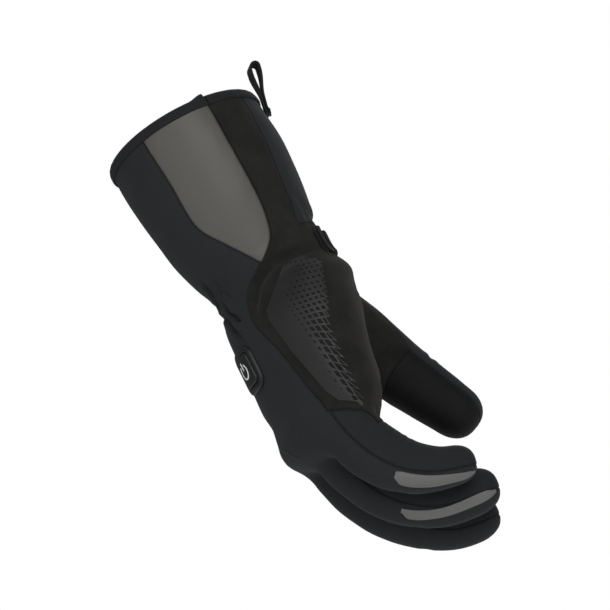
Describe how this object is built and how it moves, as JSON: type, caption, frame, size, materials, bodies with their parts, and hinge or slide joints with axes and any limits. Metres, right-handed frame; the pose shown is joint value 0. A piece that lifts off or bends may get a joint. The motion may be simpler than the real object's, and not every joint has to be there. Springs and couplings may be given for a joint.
{
  "type": "heated glove",
  "caption": "Left-hand black gauntlet heated glove with softshell back, suede palm, reflective cuff panel, grip print, control button, wrist strap and pull loop, in a loosely curled form",
  "frame": {"origin": "centre of the cuff's open mouth, level with the binding's upper edge", "axes": "+Z out of the mouth away from the fingers, +X towards the palm side, -Y towards the little finger's side"},
  "size_m": [0.1318, 0.1231, 0.3172],
  "materials": {
    "softshell": "matte woven softshell",
    "suede": "matte brushed suede",
    "reflective": "satin reflective cloth",
    "black_cloth": "matte woven tape",
    "grip": "satin silicone print",
    "moulded": "satin moulded rubber"
  },
  "bodies": {
    "root": {"back_shell": "softshell", "palm_shell": "suede", "cuff_gusset": "softshell", "reflective_panel": "reflective", "little_finger_front": "softshell", "ring_finger_front": "softshell", "middle_finger_front": "softshell", "index_finger_front": "softshell", "thumb_back": "softshell", "thumb_front": "black_cloth", "grip_print": "grip", "little_finger_tape": "reflective", "ring_finger_tape": "reflective", "cuff_binding_back": "black_cloth", "cuff_binding_palm": "black_cloth", "wrist_strap": "black_cloth", "strap_pull_tab": "black_cloth", "strap_keeper": "black_cloth", "pull_loop": "black_cloth", "button_housing": "moulded", "button_pad": "moulded"}
  },
  "joints": []
}
